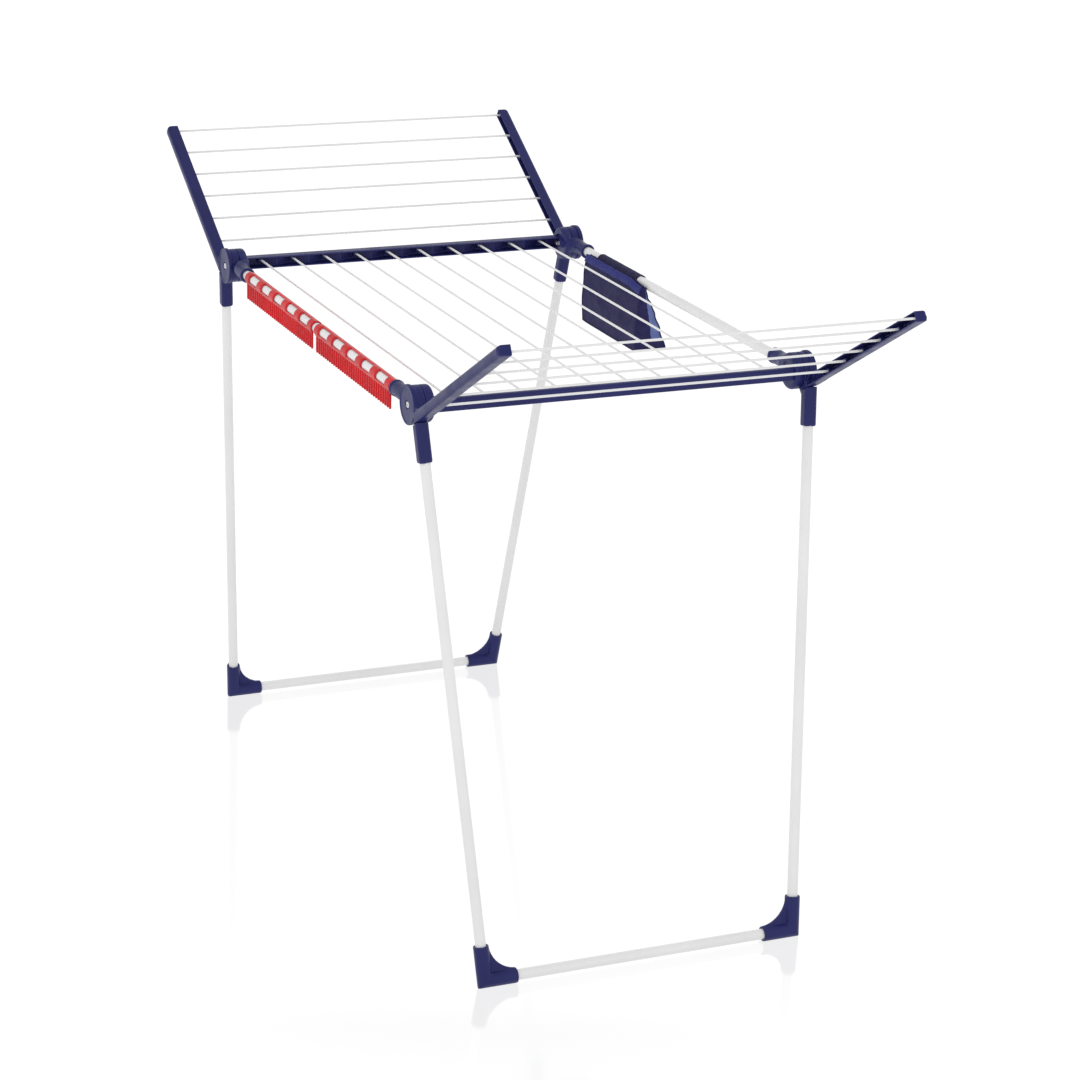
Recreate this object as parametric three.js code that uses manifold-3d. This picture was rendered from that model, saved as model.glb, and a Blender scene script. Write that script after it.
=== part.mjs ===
// A free-standing clothes drying rack with two folding wings and two folding leg frames.
// Millimetres, +Z up, origin on the floor under the middle of the rack.
// X runs across the rack, Y along it. "Front" is -Y, "right" is +X.
import * as THREE from 'three';
import { mergeVertices } from 'three/addons/utils/BufferGeometryUtils.js';
import Module from 'manifold-3d';

const wasm = await Module();
wasm.setup();

// ---------------------------------------------------------------- driving dimensions

const FIT_GAP = 0.3;                 // play between pieces that touch
const OVERSHOOT = 2;                 // how far a cutting tool runs past what it cuts

// The hub is the bolted stack at each corner, where frame, leg and wing meet.
const HUB_Y = 485;
const HUB_Z = 944;
const HUB_RADIUS = 31;
const DISC_RADIUS = 33;
const FRAME_HUB_X = [320, 336.4];
const LEG_HUB_X = [336.7, 351];
const DISC_X = [351.3, 359];

// Round steel tube for the legs, cross tubes and side tubes, and steel wire for the lines.
const TUBE_RADIUS = 9;
const TUBE_WALL = 1.2;
const TUBE_SIDES = 20;
const SOCKET_SIDES = 18;
const HUB_SIDES = 32;
const TUBE_BORE = TUBE_RADIUS + FIT_GAP + 0.1;
const WIRE_RADIUS = 2;
const WIRE_SIDES = 8;
const WIRE_PITCH = 63;
const CENTRE_WIRES = 10;
const WING_WIRES = 6;

// Frame: side tubes along Y, rails along X. Heights are from the hub axis.
const SIDE_TUBE_X = 342;
const SIDE_TUBE_RISE = 2;
const SOCKET_RADIUS = 12.6;
const SOCKET_RIM_RADIUS = 14;
const SOCKET_START = -38;
const SOCKET_END = -92;
const SIDE_TUBE_SEAT = -42;
const SOCKET_RIM_WIDTH = 6;
const BRACKET_THICKNESS = 11;
const BRACKET_TIP_Z = [-11, 15];
const RAIL_OUT = 13;
const RAIL_DEPTH = 24;
const RAIL_HEIGHT = 22;
const RAIL_RISE = 0.5;
const RAIL_WALL = 2.4;
const CENTRE_WIRE_RISE = 4;
const TONGUE_LENGTH = 20;
const TONGUE_THICKNESS = 3.5;
const BOSS_RADIUS = 5;
const BOSS_SIDES = 8;
const RAIL_BOSS_DEPTH = 11;
const ARM_BOSS_DEPTH = 16;
const BOSS_BORE = WIRE_RADIUS + 0.35;

// Wing: an arm each side, measured along the arm (s) and square to it (d) from the hub axis.
const WING_ANGLE = 30;
const ARM_X = [337.5, 359.5];
const ARM_ROOT = 22;
const ARM_TIP = 417;
const ARM_HEIGHT = 17.5;
const ARM_DROP = -26.2;
const WING_WIRE_DROP = -28;
const ARM_WALL = 2.2;
const ARM_CORNER = 6;
const ARM_HUB_CLEARANCE = 1.3;
const FIRST_WING_WIRE = 97;
const ARM_CUT = { acrossX: 18, alongS: 30, startS: 28 };
const SHOULDER_START = 30;
const SHOULDER_END = 60;
const SHOULDER_ON_DISC = { low: [-4, -32], high: [20, 25] };

// Legs lean out along Y and draw in along X towards the cross tube.
const LEG_TOP_X = 348;
const LEG_TOP_OUT = 26;
const LEG_FOOT_X = 282;
const LEG_FOOT_Y = 682.5;
const FOOT_AXIS_Z = 12.5;
const SLEEVE_WIDTH = 22.5;
const SLEEVE_CORNER = 6;
const SLEEVE_END = 87;
const LEG_TUBE_START = 46;
const LEG_NECK = [[12, -28.4], [24, -42], [42, -30]];
const FOOT_SOCKET_LENGTH = { up: 59, inward: 56 };
const FOOT_SOCKET_RADIUS = 13;
const FOOT_TUBE_SEAT = 16;
const WEB_REACH = 54;
const WEB_THICKNESS = 6;

// Hub bolt and its nut.
const BOLT_SIDES = 12;
const BOLT_RADIUS = 2.5;
const BOLT_HOLE = 2.9;
const BOLT_HEAD_RADIUS = 5.5;
const BOLT_HEAD = [355.5, 358.2];
const BOLT_SLOT = { depth: 1, length: 18, width: 1.4 };
const BOLT_RECESS_RADIUS = 7;
const BOLT_END_X = 313.5;
const NUT_X = [315.2, 319.7];
const NUT_RADIUS = 4.3;
const NUT_SIDES = 6;

// Comb-like holders for small items, clipped on the left side tube.
const HOLDER_LENGTH = 374;
const HOLDER_STARTS = { front: -389, rear: 1 };
const HOLDER_RADII = [9.5, 11.5];
const HOLDER_ARC = [-40, 236];
const HOLDER_WINDOWS = 5;
const HOLDER_WINDOW = { length: 42, arc: [102, 196] };
const COMB_X = [-9, -6];
const COMB_Z = [-37, -8];

// Peg bag, hung on the right side tube. Its X is from the tube, its Z from the hub axis.
const HANGER_Y = [150, 325];
const HANGER_RADII = [9.5, 11.3];
const HANGER_ARC = [-52, 232];
const HANGER_TAIL = 12;
const BAG_Y = [100, 350];
const BAG_Z = [-118, 8];
const BAG_BASE_X = [-30, 34];
const BAG_MOUTH_X = [-23, -12.5];
const BAG_SHOULDER = { x: 10, z: -14 };
const BAG_WALL = 2.2;

// ---------------------------------------------------------------- materials

function plastic(colour, roughness) {
  return new THREE.MeshStandardMaterial({ color: colour, roughness, metalness: 0 });
}

const navyPlastic = plastic(0x2b2a63, 0.38);
const redPlastic = plastic(0xc81420, 0.4);
const navyFabric = plastic(0x24254f, 0.9);
const whiteCoat = plastic(0xe9e9ea, 0.35);
const bareSteel = new THREE.MeshStandardMaterial({ color: 0xb9bcc2, roughness: 0.3, metalness: 1 });

// ---------------------------------------------------------------- solids

function toSolid(geometry) {
  const bare = geometry.clone();
  bare.deleteAttribute('normal');
  bare.deleteAttribute('uv');
  const merged = mergeVertices(bare, 1e-4);
  return new wasm.Manifold(new wasm.Mesh({
    numProp: 3,
    vertProperties: Float32Array.from(merged.attributes.position.array),
    triVerts: Uint32Array.from(merged.index.array),
  }));
}

function toGeometry(solid) {
  const mesh = solid.getMesh();
  const geometry = new THREE.BufferGeometry();
  geometry.setAttribute('position', new THREE.BufferAttribute(mesh.vertProperties, 3));
  geometry.setIndex(new THREE.BufferAttribute(mesh.triVerts, 1));
  return geometry;
}

function union(first, ...others) {
  return others.reduce((whole, next) => whole.add(next), first);
}

function block([x0, x1], [y0, y1], [z0, z1]) {
  const geometry = new THREE.BoxGeometry(x1 - x0, y1 - y0, z1 - z0);
  geometry.translate((x0 + x1) / 2, (y0 + y1) / 2, (z0 + z1) / 2);
  return toSolid(geometry);
}

// Puts a geometry that was built along +Z at a start point, pointing along a direction.
function aim(geometry, start, direction) {
  const along = direction.clone().normalize();
  const side = Math.abs(along.x) > 0.9 ? new THREE.Vector3(0, 1, 0) : new THREE.Vector3(1, 0, 0);
  const across = side.addScaledVector(along, -side.dot(along)).normalize();
  const third = new THREE.Vector3().crossVectors(along, across);
  const matrix = new THREE.Matrix4().makeBasis(across, third, along).setPosition(start);
  return geometry.applyMatrix4(matrix);
}

function rodGeometry(start, end, radius, sides) {
  const direction = end.clone().sub(start);
  const length = direction.length();
  const geometry = new THREE.CylinderGeometry(radius, radius, length, sides);
  geometry.rotateX(Math.PI / 2).translate(0, 0, length / 2);
  return aim(geometry, start, direction);
}

function rod(start, end, radius, sides = TUBE_SIDES) {
  return toSolid(rodGeometry(start, end, radius, sides));
}

function rodX(radius, [x0, x1], y = 0, z = 0, sides = HUB_SIDES) {
  return rod(new THREE.Vector3(x0, y, z), new THREE.Vector3(x1, y, z), radius, sides);
}

function tubeGeometry(start, end) {
  const direction = end.clone().sub(start);
  const inner = TUBE_RADIUS - TUBE_WALL;
  const length = direction.length();
  const corners = [[inner, 0], [TUBE_RADIUS, 0], [TUBE_RADIUS, length], [inner, length], [inner, 0]];
  const profile = corners.map(([radius, height]) => new THREE.Vector2(radius, height));
  const geometry = new THREE.LatheGeometry(profile, TUBE_SIDES).rotateX(Math.PI / 2);
  return aim(geometry, start, direction);
}

function extrude(points, depth) {
  const shape = new THREE.Shape(points.map(([a, b]) => new THREE.Vector2(a, b)));
  return new THREE.ExtrudeGeometry(shape, { depth, bevelEnabled: false });
}

// An outline of (y, z) points, extruded along X.
function prismX(points, [x0, x1]) {
  const turn = new THREE.Matrix4().set(0, 0, 1, x0, 1, 0, 0, 0, 0, 1, 0, 0, 0, 0, 0, 1);
  return toSolid(extrude(points, x1 - x0).applyMatrix4(turn));
}

// An outline of (x, z) points, extruded along Y.
function prismY(points, [y0, y1]) {
  const geometry = extrude(points, y1 - y0).rotateX(Math.PI / 2);
  return toSolid(geometry.translate(0, y1, 0));
}

function arcPoints(radius, fromDegrees, toDegrees, steps, centre = [0, 0]) {
  return Array.from({ length: steps + 1 }, (_, i) => {
    const angle = THREE.MathUtils.degToRad(fromDegrees + ((toDegrees - fromDegrees) * i) / steps);
    return [centre[0] + radius * Math.cos(angle), centre[1] + radius * Math.sin(angle)];
  });
}

function ringSector([inner, outer], [from, to], steps) {
  return [...arcPoints(outer, from, to, steps), ...arcPoints(inner, to, from, steps)];
}

// ---------------------------------------------------------------- placing

const rack = new THREE.Group();

function addPiece(name, geometry, material) {
  const bare = geometry.clone();
  bare.deleteAttribute('normal');
  bare.deleteAttribute('uv');
  const merged = mergeVertices(bare, 1e-4);
  merged.computeVertexNormals();
  const mesh = new THREE.Mesh(merged, material.clone());
  mesh.name = name;
  rack.add(mesh);
}

// Mirrors a geometry that was made for the rear right corner into another corner.
function mirrored(geometry, side, end) {
  const copy = geometry.clone().scale(side, end, 1);
  if (side * end < 0) {
    const index = copy.index.array;
    for (let i = 0; i < index.length; i += 3) {
      [index[i], index[i + 1]] = [index[i + 1], index[i]];
    }
  }
  return copy;
}

const CORNERS = [
  { name: 'rear_right', side: 1, end: 1 },
  { name: 'rear_left', side: -1, end: 1 },
  { name: 'front_right', side: 1, end: -1 },
  { name: 'front_left', side: -1, end: -1 },
];

// Adds one copy of a corner piece, built about the hub axis, at each of the four corners.
function addAtCorners(baseName, solid, material) {
  const geometry = toGeometry(solid).translate(0, HUB_Y, HUB_Z);
  for (const corner of CORNERS) {
    addPiece(`${corner.name}_${baseName}`, mirrored(geometry, corner.side, corner.end), material);
  }
}

// ---------------------------------------------------------------- wing directions

const wingTurn = THREE.MathUtils.degToRad(WING_ANGLE);

// A point given along (s) and square to (d) the open wing, as (outward, up) from the hub axis.
function wingPoint([s, d]) {
  return [
    s * Math.cos(wingTurn) - d * Math.sin(wingTurn),
    s * Math.sin(wingTurn) + d * Math.cos(wingTurn),
  ];
}

const armLow = ARM_DROP - ARM_HEIGHT / 2;
const armHigh = ARM_DROP + ARM_HEIGHT / 2;

// ---------------------------------------------------------------- leg directions

const legTop = new THREE.Vector3(LEG_TOP_X, LEG_TOP_OUT, 0);
const legFoot = new THREE.Vector3(LEG_FOOT_X, LEG_FOOT_Y - HUB_Y, FOOT_AXIS_Z - HUB_Z);
const legDown = legFoot.clone().sub(legTop).normalize();

function legPoint(distance) {
  return legTop.clone().addScaledVector(legDown, distance);
}

// ---------------------------------------------------------------- frame

// Corner block: round hub, tapering bracket, socket for the side tube and tongue for the rail.
function cornerBlock() {
  const [hubStart] = FRAME_HUB_X;
  const bracketX = [hubStart, hubStart + BRACKET_THICKNESS];
  const [tipLow, tipHigh] = BRACKET_TIP_Z;
  const hub = rodX(HUB_RADIUS, FRAME_HUB_X);
  const bracket = prismX([
    [0, HUB_RADIUS - 1], [0, 1 - HUB_RADIUS], [SOCKET_END, tipLow], [SOCKET_END, tipHigh],
  ], bracketX);
  const socketAt = (out) => new THREE.Vector3(SIDE_TUBE_X, out, SIDE_TUBE_RISE);
  const rimStart = SOCKET_END + SOCKET_RIM_WIDTH;
  const socket = rod(socketAt(SOCKET_START), socketAt(SOCKET_END), SOCKET_RADIUS, TUBE_SIDES);
  const rim = rod(socketAt(rimStart), socketAt(SOCKET_END), SOCKET_RIM_RADIUS, TUBE_SIDES);
  const bridge = block([hubStart, SIDE_TUBE_X], [SOCKET_END, SOCKET_START], BRACKET_TIP_Z);
  const tongueBack = RAIL_OUT + RAIL_DEPTH / 2 - RAIL_WALL - FIT_GAP;
  const tongueReach = RAIL_HEIGHT / 2 - RAIL_WALL - FIT_GAP;
  const tongue = block(
    [hubStart - TONGUE_LENGTH, hubStart + 1],
    [tongueBack - TONGUE_THICKNESS, tongueBack],
    [RAIL_RISE - tongueReach, RAIL_RISE + tongueReach],
  );
  const tubeBore = rod(socketAt(SIDE_TUBE_SEAT), socketAt(SOCKET_END - OVERSHOOT), TUBE_BORE);
  return union(hub, bracket, socket, rim, bridge, tongue)
    .subtract(tubeBore).subtract(boltHole(FRAME_HUB_X));
}

// The tool that drills the hub bolt's hole through a piece that spans an X range.
function boltHole([x0, x1]) {
  return rodX(BOLT_HOLE, [x0 - OVERSHOOT, x1 + OVERSHOOT], 0, 0, BOLT_SIDES);
}

// A boss on a channel's web that holds the end of a wire, as a body and the bore to take out of it.
// It starts at a place, points along a direction and ends in the web at its depth.
function wireBoss(start, direction, depth) {
  const at = (distance) => start.clone().addScaledVector(direction, distance);
  const body = rod(at(0), at(depth + RAIL_WALL / 2), BOSS_RADIUS, BOSS_SIDES);
  const bore = rod(at(-OVERSHOOT), at(depth), BOSS_BORE, WIRE_SIDES);
  return { body, bore };
}

// Rail: a channel that opens towards the middle of the rack, with a boss for every wire.
function rail() {
  const halfLength = FRAME_HUB_X[0] - FIT_GAP;
  const low = RAIL_RISE - RAIL_HEIGHT / 2;
  const high = RAIL_RISE + RAIL_HEIGHT / 2;
  const inside = RAIL_OUT - RAIL_DEPTH / 2;
  const web = RAIL_OUT + RAIL_DEPTH / 2 - RAIL_WALL;
  const reach = halfLength + OVERSHOOT;
  let solid = block([-halfLength, halfLength], [inside, web + RAIL_WALL], [low, high]);
  solid = solid.subtract(block(
    [-reach, reach],
    [inside - OVERSHOOT, web],
    [low + RAIL_WALL, high - RAIL_WALL],
  ));
  const outward = new THREE.Vector3(0, 1, 0);
  for (const x of centreWirePlaces()) {
    const start = new THREE.Vector3(x, web - RAIL_BOSS_DEPTH, CENTRE_WIRE_RISE);
    const boss = wireBoss(start, outward, RAIL_BOSS_DEPTH);
    solid = solid.add(boss.body).subtract(boss.bore);
  }
  return solid;
}

function centreWirePlaces() {
  const first = (-(CENTRE_WIRES - 1) / 2) * WIRE_PITCH;
  return Array.from({ length: CENTRE_WIRES }, (_, i) => first + i * WIRE_PITCH);
}

function hubBolt() {
  const shank = rodX(BOLT_RADIUS, [BOLT_END_X, BOLT_HEAD[0] + 1], 0, 0, BOLT_SIDES);
  const head = rodX(BOLT_HEAD_RADIUS, BOLT_HEAD, 0, 0, BOLT_SIDES);
  const [, headTop] = BOLT_HEAD;
  const slot = block(
    [headTop - BOLT_SLOT.depth, headTop + OVERSHOOT],
    [-BOLT_SLOT.length / 2, BOLT_SLOT.length / 2],
    [-BOLT_SLOT.width / 2, BOLT_SLOT.width / 2],
  );
  return union(shank, head).subtract(slot);
}

function hubNut() {
  return rodX(NUT_RADIUS, NUT_X, 0, 0, NUT_SIDES).subtract(boltHole(NUT_X));
}

function addFrame() {
  addAtCorners('corner_block', cornerBlock(), navyPlastic);
  addAtCorners('hub_bolt', hubBolt(), bareSteel);
  addAtCorners('hub_nut', hubNut(), bareSteel);
  const railGeometry = toGeometry(rail()).translate(0, HUB_Y, HUB_Z);
  addPiece('rear_rail', railGeometry, navyPlastic);
  addPiece('front_rail', mirrored(railGeometry, 1, -1), navyPlastic);
  const tubeEnd = HUB_Y + SIDE_TUBE_SEAT - FIT_GAP;
  for (const [name, side] of [['right', 1], ['left', -1]]) {
    const at = (y) => new THREE.Vector3(side * SIDE_TUBE_X, y, HUB_Z + SIDE_TUBE_RISE);
    addPiece(`${name}_side_tube`, tubeGeometry(at(-tubeEnd), at(tubeEnd)), whiteCoat);
  }
  const wireEnd = HUB_Y + RAIL_OUT + RAIL_DEPTH / 2 - RAIL_WALL - 2 * FIT_GAP;
  centreWirePlaces().forEach((x, i) => {
    const at = (y) => new THREE.Vector3(x, y, HUB_Z + CENTRE_WIRE_RISE);
    const wire = rodGeometry(at(-wireEnd), at(wireEnd), WIRE_RADIUS, WIRE_SIDES);
    addPiece(`centre_wire_${String(i + 1).padStart(2, '0')}`, wire, whiteCoat);
  });
}

// ---------------------------------------------------------------- wings

// Outline (x, z) of the wing arm's section: square edges inward, rounded corners outward.
function armSection(inset, openingX) {
  const corner = ARM_CORNER - inset;
  const cornerX = ARM_X[1] - ARM_CORNER;
  return [
    [openingX, armHigh - inset], [openingX, armLow + inset],
    ...arcPoints(corner, -90, 0, 4, [cornerX, armLow + ARM_CORNER]),
    ...arcPoints(corner, 0, 90, 4, [cornerX, armHigh - ARM_CORNER]),
  ];
}

// Wing arm: outer disc at the hub and a channel that opens inward and carries the wires.
// It is built with the wing level and turned to its open angle at the end.
function wingArm() {
  const disc = rodX(DISC_RADIUS, DISC_X);
  const shoulder = prismX([
    SHOULDER_ON_DISC.low, [SHOULDER_START, armLow], [SHOULDER_END, armLow],
    [SHOULDER_END, armHigh], [SHOULDER_START, armHigh], SHOULDER_ON_DISC.high,
  ], [DISC_X[0], ARM_X[1] - ARM_WALL]);
  const channel = prismY(armSection(0, ARM_X[0]), [ARM_ROOT, ARM_TIP]).subtract(
    prismY(armSection(ARM_WALL, ARM_X[0] - OVERSHOOT), [ARM_ROOT + ARM_WALL, ARM_TIP - ARM_WALL]),
  );
  const aroundHub = rodX(HUB_RADIUS + ARM_HUB_CLEARANCE, [ARM_X[0] - OVERSHOOT, DISC_X[0]]);
  const { acrossX, alongS, startS } = ARM_CUT;
  const cut = new THREE.CylinderGeometry(acrossX, acrossX, ARM_HEIGHT, HUB_SIDES);
  cut.rotateX(Math.PI / 2).scale(1, alongS / acrossX, 1).translate(ARM_X[0], startS, armHigh);
  let solid = union(disc, shoulder, channel.subtract(aroundHub).subtract(toSolid(cut)));
  const webX = ARM_X[1] - ARM_WALL;
  const outward = new THREE.Vector3(1, 0, 0);
  for (const s of wingWirePlaces()) {
    const start = new THREE.Vector3(webX - ARM_BOSS_DEPTH, s, WING_WIRE_DROP);
    const boss = wireBoss(start, outward, ARM_BOSS_DEPTH);
    solid = solid.add(boss.body).subtract(boss.bore);
  }
  const recess = rodX(BOLT_RECESS_RADIUS, [BOLT_HEAD[0] - FIT_GAP, DISC_X[1] + OVERSHOOT]);
  return solid.subtract(boltHole(DISC_X)).subtract(recess).rotate([WING_ANGLE, 0, 0]);
}

function wingWirePlaces() {
  return Array.from({ length: WING_WIRES }, (_, i) => FIRST_WING_WIRE + i * WIRE_PITCH);
}

function addWings() {
  addAtCorners('wing_arm', wingArm(), navyPlastic);
  const wireEnd = ARM_X[1] - ARM_WALL - 2 * FIT_GAP;
  for (const [name, end] of [['front', -1], ['rear', 1]]) {
    wingWirePlaces().forEach((s, i) => {
      const [out, up] = wingPoint([s, WING_WIRE_DROP]);
      const at = (x) => new THREE.Vector3(x, end * (HUB_Y + out), HUB_Z + up);
      const wire = rodGeometry(at(-wireEnd), at(wireEnd), WIRE_RADIUS, WIRE_SIDES);
      addPiece(`${name}_wing_wire_${i + 1}`, wire, whiteCoat);
    });
  }
}

// ---------------------------------------------------------------- legs

function roundedSquare(width, corner) {
  const inset = width / 2 - corner;
  const centres = [[inset, inset], [-inset, inset], [-inset, -inset], [inset, -inset]];
  return centres.flatMap((centre, i) => arcPoints(corner, i * 90, i * 90 + 90, 3, centre));
}

// Leg socket: a round hub beside the corner block, a neck and a square sleeve for the leg tube.
function legSocket() {
  const hub = rodX(HUB_RADIUS, LEG_HUB_X);
  const neck = prismX([...LEG_NECK, wingPoint([21, -40]), wingPoint([21, -20])], LEG_HUB_X);
  const sleeveGeometry = extrude(roundedSquare(SLEEVE_WIDTH, SLEEVE_CORNER), SLEEVE_END);
  const sleeve = toSolid(aim(sleeveGeometry, legTop, legDown));
  const slope = armLow - 1;
  const aboveArm = prismX([
    wingPoint([-SLEEVE_END, slope]), wingPoint([SLEEVE_END, slope]),
    wingPoint([SLEEVE_END, SLEEVE_END]), wingPoint([-SLEEVE_END, SLEEVE_END]),
  ], [LEG_TOP_X - SLEEVE_WIDTH, LEG_TOP_X + SLEEVE_WIDTH]);
  const bore = rod(legPoint(LEG_TUBE_START - FIT_GAP), legPoint(SLEEVE_END + OVERSHOOT), TUBE_BORE);
  return union(hub, neck, sleeve.subtract(aboveArm)).subtract(bore).subtract(boltHole(LEG_HUB_X));
}

// Foot: a mitred elbow that joins a leg to the cross tube, with a thin curved web in its corner.
// It is built about the point where the two tube axes meet.
function foot() {
  const directions = { up: legDown.clone().negate(), inward: new THREE.Vector3(-1, 0, 0) };
  const rodAlong = (direction, from, to, radius) => rod(
    direction.clone().multiplyScalar(from), direction.clone().multiplyScalar(to), radius, SOCKET_SIDES,
  );
  const parts = [];
  const bores = [];
  const heels = [];
  for (const [name, direction] of Object.entries(directions)) {
    const length = FOOT_SOCKET_LENGTH[name];
    parts.push(rodAlong(direction, 0, length, FOOT_SOCKET_RADIUS));
    heels.push(rodAlong(direction, -2 * FOOT_SOCKET_RADIUS, length, FOOT_SOCKET_RADIUS));
    bores.push(rodAlong(direction, FOOT_TUBE_SEAT - FIT_GAP, length + OVERSHOOT, TUBE_BORE));
  }
  parts.push(heels[0].intersect(heels[1]));
  const web = extrude([
    [0, 0], [WEB_REACH, 0],
    ...arcPoints(WEB_REACH - FOOT_SOCKET_RADIUS, 270, 180, 6, [WEB_REACH, WEB_REACH]),
    [0, WEB_REACH],
  ], WEB_THICKNESS).translate(0, 0, -WEB_THICKNESS / 2);
  const normal = new THREE.Vector3().crossVectors(directions.inward, directions.up);
  web.applyMatrix4(new THREE.Matrix4().makeBasis(directions.inward, directions.up, normal));
  parts.push(toSolid(web));
  const around = 2 * FOOT_SOCKET_LENGTH.up;
  const belowFloor = block([-around, around], [-around, around], [-around, -FOOT_AXIS_Z]);
  return bores.reduce((solid, bore) => solid.subtract(bore), union(...parts)).subtract(belowFloor);
}

function addLegs() {
  addAtCorners('leg_socket', legSocket(), navyPlastic);
  const footGeometry = toGeometry(foot()).translate(LEG_FOOT_X, LEG_FOOT_Y, FOOT_AXIS_Z);
  const legEnd = legFoot.clone().addScaledVector(legDown, -FOOT_TUBE_SEAT);
  const legGeometry = tubeGeometry(legPoint(LEG_TUBE_START), legEnd).translate(0, HUB_Y, HUB_Z);
  for (const corner of CORNERS) {
    addPiece(`${corner.name}_foot`, mirrored(footGeometry, corner.side, corner.end), navyPlastic);
    addPiece(`${corner.name}_leg_tube`, mirrored(legGeometry, corner.side, corner.end), whiteCoat);
  }
  for (const [name, end] of [['front', -1], ['rear', 1]]) {
    const reach = LEG_FOOT_X - FOOT_TUBE_SEAT;
    const at = (x) => new THREE.Vector3(x, end * LEG_FOOT_Y, FOOT_AXIS_Z);
    addPiece(`${name}_cross_tube`, tubeGeometry(at(-reach), at(reach)), whiteCoat);
  }
}

// ---------------------------------------------------------------- accessories

// Small-item holder: an open half pipe with windows that snaps on the tube, and a comb plate.
function smallItemHolder() {
  const shell = prismY(ringSector(HOLDER_RADII, HOLDER_ARC, 14), [0, HOLDER_LENGTH]);
  const comb = prismY([
    [COMB_X[0], COMB_Z[0]], [COMB_X[1], COMB_Z[0]], [COMB_X[1], COMB_Z[1]], [COMB_X[0], COMB_Z[1]],
  ], [0, HOLDER_LENGTH]);
  const pitch = HOLDER_LENGTH / (HOLDER_WINDOWS + 0.25);
  const band = (HOLDER_LENGTH - (HOLDER_WINDOWS - 1) * pitch - HOLDER_WINDOW.length) / 2;
  const cutter = ringSector([HOLDER_RADII[0] - 1, HOLDER_RADII[1] + 1], HOLDER_WINDOW.arc, 6);
  let solid = shell.add(comb);
  for (let i = 0; i < HOLDER_WINDOWS; i += 1) {
    const start = band + i * pitch;
    solid = solid.subtract(prismY(cutter, [start, start + HOLDER_WINDOW.length]));
  }
  return solid;
}

// Bag hanger: a long clip over the tube, with a tail that the bag's back panel is sewn to.
function bagHanger() {
  const shell = prismY(ringSector(HANGER_RADII, HANGER_ARC, 14), HANGER_Y);
  const tail = prismY([
    [HANGER_RADII[0], -HANGER_TAIL], [HANGER_RADII[1], -HANGER_TAIL],
    [HANGER_RADII[1], 0], [HANGER_RADII[0], 0],
  ], HANGER_Y);
  return shell.add(tail);
}

// Peg bag: a pouch that widens to its base, with its mouth beside the tube on the inner side.
function pegBag() {
  const outline = (wall, topZ) => [
    [BAG_MOUTH_X[0] + wall, topZ], [BAG_BASE_X[0] + wall, BAG_Z[0] + wall],
    [BAG_BASE_X[1] - wall, BAG_Z[0] + wall], [BAG_SHOULDER.x - wall, BAG_SHOULDER.z - wall],
    [BAG_MOUTH_X[1] - wall, BAG_SHOULDER.z - wall], [BAG_MOUTH_X[1] - wall, topZ],
  ];
  const shell = prismY(outline(0, BAG_Z[1]), BAG_Y);
  const inside = outline(BAG_WALL, BAG_Z[1] + OVERSHOOT);
  return shell.subtract(prismY(inside, [BAG_Y[0] + BAG_WALL, BAG_Y[1] - BAG_WALL]));
}

function addAccessories() {
  const tubeZ = HUB_Z + SIDE_TUBE_RISE;
  for (const [name, start] of Object.entries(HOLDER_STARTS)) {
    const holder = toGeometry(smallItemHolder()).translate(-SIDE_TUBE_X, start, tubeZ);
    addPiece(`${name}_small_item_holder`, holder, redPlastic);
  }
  addPiece('bag_hanger', toGeometry(bagHanger()).translate(SIDE_TUBE_X, 0, tubeZ), navyPlastic);
  addPiece('peg_bag', toGeometry(pegBag()).translate(SIDE_TUBE_X, 0, HUB_Z), navyFabric);
}

addFrame();
addWings();
addLegs();
addAccessories();

export default rack;
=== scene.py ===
"""Clothes drying rack: the looks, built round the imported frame. Shapes are given in millimetres."""
from math import copysign, cos, pi, radians, sin

import bmesh
import bpy
from mathutils import Matrix, Vector, noise


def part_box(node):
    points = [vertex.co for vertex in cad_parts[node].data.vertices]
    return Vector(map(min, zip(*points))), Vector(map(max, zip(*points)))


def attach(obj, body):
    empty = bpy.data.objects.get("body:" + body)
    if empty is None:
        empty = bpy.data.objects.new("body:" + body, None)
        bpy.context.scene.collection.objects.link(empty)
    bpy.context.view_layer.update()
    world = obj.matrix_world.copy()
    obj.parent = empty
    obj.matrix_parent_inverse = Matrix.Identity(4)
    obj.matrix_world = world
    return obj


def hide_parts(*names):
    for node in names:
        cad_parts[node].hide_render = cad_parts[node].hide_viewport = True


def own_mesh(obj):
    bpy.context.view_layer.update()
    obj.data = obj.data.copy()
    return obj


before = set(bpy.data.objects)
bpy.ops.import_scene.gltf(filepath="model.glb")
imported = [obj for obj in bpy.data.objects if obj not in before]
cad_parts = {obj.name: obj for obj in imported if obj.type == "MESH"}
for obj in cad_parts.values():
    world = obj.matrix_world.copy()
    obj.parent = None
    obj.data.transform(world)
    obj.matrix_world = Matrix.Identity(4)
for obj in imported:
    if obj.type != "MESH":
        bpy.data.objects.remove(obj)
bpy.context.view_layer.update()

MM = 0.001
X, Y, Z = Vector((1, 0, 0)), Vector((0, 1, 0)), Vector((0, 0, 1))

# ---------------------------------------------------------------- sizes that the frame gives


def box_mm(node):
    low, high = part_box(node)
    return Vector(low) / MM, Vector(high) / MM


def centre_mm(node):
    low, high = box_mm(node)
    return (low + high) / 2


hub = centre_mm("rear_right_hub_bolt")
HUB_Y, HUB_Z = hub.y, hub.z
SIDE_TUBE = centre_mm("right_side_tube")
TUBE_RISE = SIDE_TUBE.z - HUB_Z
CROSS_TUBE = centre_mm("rear_cross_tube")
CROSS_LOW, CROSS_HIGH = box_mm("rear_cross_tube")
TUBE_RADIUS = (CROSS_HIGH.z - CROSS_LOW.z) / 2

# ---------------------------------------------------------------- sizes about the hub axis

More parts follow.
